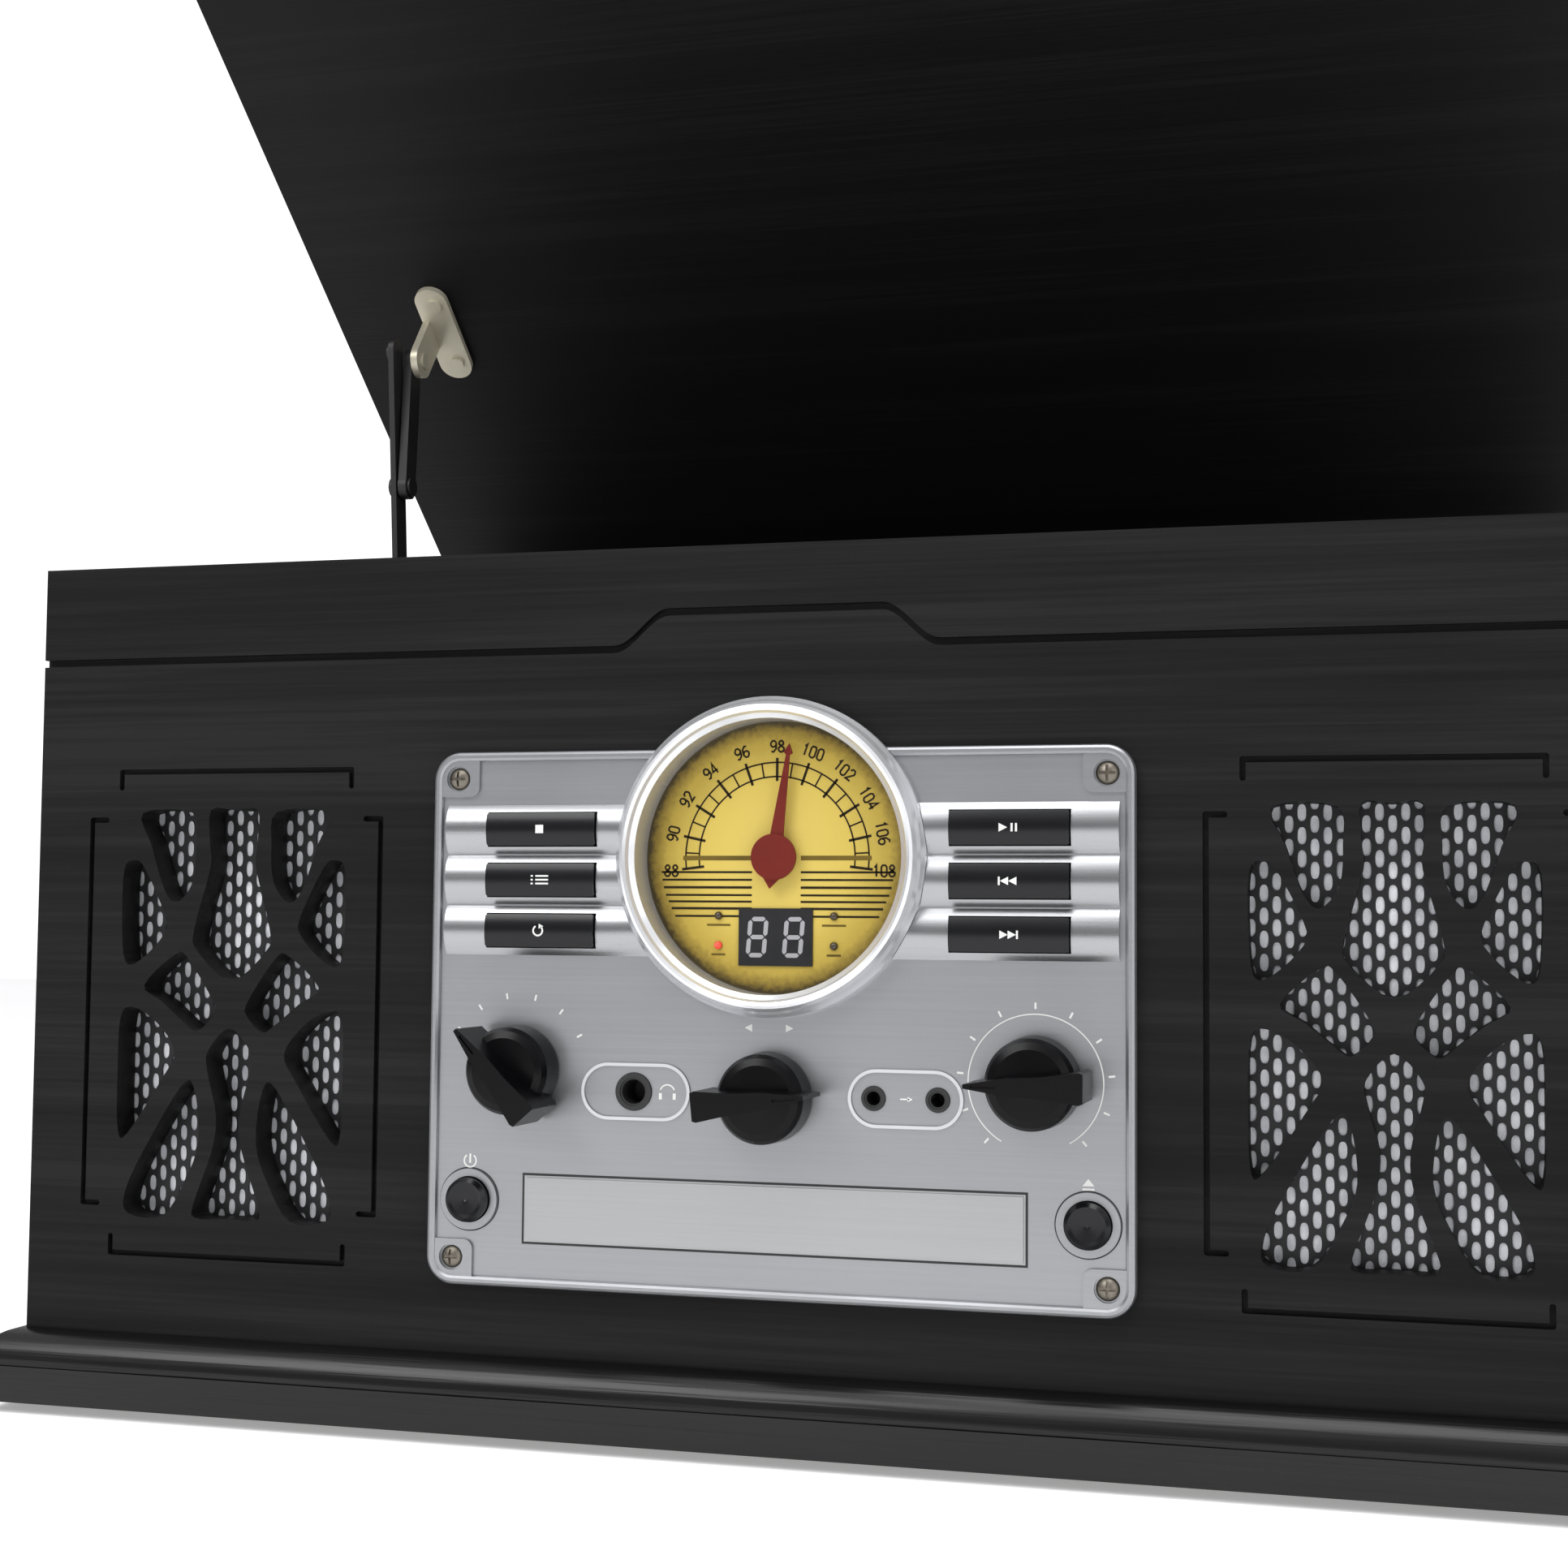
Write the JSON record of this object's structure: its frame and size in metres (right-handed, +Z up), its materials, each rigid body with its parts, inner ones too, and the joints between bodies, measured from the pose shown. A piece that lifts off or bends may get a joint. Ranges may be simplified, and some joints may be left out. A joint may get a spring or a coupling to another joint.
{
  "type": "stereo music centre",
  "caption": "Table-top stereo music centre in a black wood cabinet with a lidded turntable, dial radio, CD drawer and speakers behind fretwork grilles.",
  "frame": {"origin": "on the floor, under the middle of the cabinet", "axes": "+X to the right seen from the front, +Y to the rear, +Z up"},
  "size_m": [0.451, 0.3601, 0.4469],
  "materials": {
    "black_wood": "satin black lacquer with an open grain",
    "raw_wood": "unfinished",
    "silver_panel": "brushed",
    "chrome": "polished",
    "lens": "clear",
    "dial": "printed, satin",
    "display": "gloss",
    "needle": "gloss",
    "cord": "woven",
    "black_gloss": "gloss",
    "black_matte": "matt",
    "circuit_board": "lacquered",
    "plain_steel": "plain",
    "grey_steel": "satin",
    "screen": "satin",
    "rubber": "matt",
    "platter": "turned",
    "brass": "satin",
    "cream": "satin"
  },
  "bodies": {
    "cabinet": {"front_board": "black_wood", "side_board_left": "black_wood", "side_board_right": "black_wood", "back_board": "raw_wood", "bottom_board": "raw_wood", "plinth_moulding": "black_wood", "rubber_feet": "rubber", "deck_board": "black_wood", "battens": "raw_wood", "case_screws": "plain_steel", "speaker_sheets": "screen", "speaker_drivers": "grey_steel", "control_panel": "silver_panel", "chrome_strips": "chrome", "dial_bezel": "chrome", "dial_lens": "lens", "dial_face": "dial", "display_window": "display", "dial_cord": "cord", "control_board": "circuit_board", "front_sockets": "black_matte", "cd_chassis": "plain_steel", "main_board": "circuit_board", "transformer": "plain_steel", "rear_sockets": "black_matte", "hinge_leaves_cabinet": "brass", "stay_bracket": "plain_steel", "record_spindle": "chrome", "motor": "plain_steel", "drive_belt": "rubber", "tonearm_base": "grey_steel", "arm_rest": "black_matte"},
    "lid": {"lid_board": "black_wood", "hinge_leaves_lid": "brass", "stay_lid_bracket": "cream"},
    "stay_arm_body": {"stay_arm": "grey_steel"},
    "stay_link_body": {"stay_link": "black_matte"},
    "needle_body": {"needle": "needle"},
    "function_body": {"function_knob": "black_gloss"},
    "tuning_body": {"tuning_knob": "black_gloss"},
    "volume_body": {"volume_knob": "black_gloss"},
    "cd_drawer": {"cd_door": "silver_panel", "cd_tray": "black_matte"},
    "platter_body": {"platter": "platter", "slip_mat": "rubber"},
    "pulley_body": {"motor_pulley": "brass"},
    "arm_yoke_body": {"tonearm_yoke": "plain_steel"},
    "tonearm_body": {"tonearm": "chrome", "cartridge": "black_matte"},
    "cue_lever_body": {"cue_lever": "plain_steel"},
    "cue_platform_body": {"cue_platform": "black_matte"},
    "speed_body": {"speed_lever": "chrome"},
    "key_left_top_body": {"key_left_top": "black_gloss"},
    "key_left_middle_body": {"key_left_middle": "black_gloss"},
    "key_left_bottom_body": {"key_left_bottom": "black_gloss"},
    "key_right_top_body": {"key_right_top": "black_gloss"},
    "key_right_middle_body": {"key_right_middle": "black_gloss"},
    "key_right_bottom_body": {"key_right_bottom": "black_gloss"},
    "round_button_left_body": {"round_button_left": "black_gloss"},
    "round_button_right_body": {"round_button_right": "black_gloss"}
  },
  "joints": [
    {"name": "lid_hinge", "type": "hinge", "parent": "cabinet", "child": "lid", "pos_m": [0, 0.1681, 0.2365], "axis": [-1, 0, 0], "range_deg": [-37, 0]},
    {"name": "stay_arm_pivot", "type": "hinge", "parent": "cabinet", "child": "stay_arm_body", "pos_m": [-0.188, 0.012, 0.216], "axis": [-1, 0, 0], "range_deg": [-96.26, 0.5]},
    {"name": "stay_link_pivot", "type": "hinge", "parent": "lid", "child": "stay_link_body", "pos_m": [-0.1847, 0.00833, 0.33686], "axis": [-1, 0, 0], "range_deg": [-0.5, 99.63]},
    {"name": "function_turn", "type": "hinge", "parent": "cabinet", "child": "function_body", "pos_m": [-0.069, -0.165, 0.0977], "axis": [0, 1, 0], "range_deg": [0, 120]},
    {"name": "volume_turn", "type": "hinge", "parent": "cabinet", "child": "volume_body", "pos_m": [0.069, -0.165, 0.0977], "axis": [0, 1, 0], "range_deg": [-60, 240]},
    {"name": "tuning_turn", "type": "hinge", "parent": "cabinet", "child": "tuning_body", "pos_m": [0, -0.165, 0.0922], "axis": [0, 1, 0], "range_deg": [-314, 268]},
    {"name": "needle_turn", "type": "hinge", "parent": "cabinet", "child": "needle_body", "pos_m": [0, -0.165, 0.154], "axis": [0, 1, 0], "range_deg": [-104.8, 89.5]},
    {"name": "key_left_top_press", "type": "slide", "parent": "cabinet", "child": "key_left_top_body", "axis": [0, 1, 0], "range_m": [0, 0.0012], "stiffness_N_per_m": 300},
    {"name": "key_left_middle_press", "type": "slide", "parent": "cabinet", "child": "key_left_middle_body", "axis": [0, 1, 0], "range_m": [0, 0.0012], "stiffness_N_per_m": 300},
    {"name": "key_left_bottom_press", "type": "slide", "parent": "cabinet", "child": "key_left_bottom_body", "axis": [0, 1, 0], "range_m": [0, 0.0012], "stiffness_N_per_m": 300},
    {"name": "key_right_top_press", "type": "slide", "parent": "cabinet", "child": "key_right_top_body", "axis": [0, 1, 0], "range_m": [0, 0.0012], "stiffness_N_per_m": 300},
    {"name": "key_right_middle_press", "type": "slide", "parent": "cabinet", "child": "key_right_middle_body", "axis": [0, 1, 0], "range_m": [0, 0.0012], "stiffness_N_per_m": 300},
    {"name": "key_right_bottom_press", "type": "slide", "parent": "cabinet", "child": "key_right_bottom_body", "axis": [0, 1, 0], "range_m": [0, 0.0012], "stiffness_N_per_m": 300},
    {"name": "round_button_left_press", "type": "slide", "parent": "cabinet", "child": "round_button_left_body", "axis": [0, 1, 0], "range_m": [0, 0.0012], "stiffness_N_per_m": 300},
    {"name": "round_button_right_press", "type": "slide", "parent": "cabinet", "child": "round_button_right_body", "axis": [0, 1, 0], "range_m": [0, 0.0012], "stiffness_N_per_m": 300},
    {"name": "cd_drawer_slide", "type": "slide", "parent": "cabinet", "child": "cd_drawer", "axis": [0, -1, 0], "range_m": [0, 0.12]},
    {"name": "platter_spin", "type": "hinge", "parent": "cabinet", "child": "platter_body", "pos_m": [-0.025, -0.001, 0.184], "axis": [0, 0, 1], "continuous": true},
    {"name": "pulley_spin", "type": "hinge", "parent": "cabinet", "child": "pulley_body", "pos_m": [-0.07089, 0.06453, 0.184], "axis": [0, 0, 1], "continuous": true},
    {"name": "tonearm_swing", "type": "hinge", "parent": "cabinet", "child": "arm_yoke_body", "pos_m": [0.15, 0.075, 0.184], "axis": [0, 0, -1], "range_deg": [0, 54]},
    {"name": "tonearm_lift", "type": "hinge", "parent": "arm_yoke_body", "child": "tonearm_body", "pos_m": [0.15, 0.075, 0.214], "axis": [-0.9976, -0.0698, 0], "range_deg": [0, 12]},
    {"name": "cue_lever_turn", "type": "hinge", "parent": "cabinet", "child": "cue_lever_body", "pos_m": [0.168, 0.06122, 0.199], "axis": [0.9976, 0.0698, 0], "range_deg": [0, 60]},
    {"name": "cue_platform_drop", "type": "slide", "parent": "cabinet", "child": "cue_platform_body", "axis": [0, 0, -1], "range_m": [0, 0.0051]},
    {"name": "speed_turn", "type": "hinge", "parent": "cabinet", "child": "speed_body", "pos_m": [-0.165, -0.125, 0.184], "axis": [0, 0, 1], "range_deg": [-20, 20]}
  ],
  "couplings": [
    {"joint": "stay_arm_pivot", "follows": "lid_hinge", "ratio": 2.5882},
    {"joint": "stay_link_pivot", "follows": "lid_hinge", "ratio": -2.6791},
    {"joint": "needle_turn", "follows": "tuning_turn", "ratio": 0.33333},
    {"joint": "pulley_spin", "follows": "platter_spin", "ratio": 10},
    {"joint": "cue_platform_drop", "follows": "cue_lever_turn", "m_per_rad": 0.0047746}
  ]
}
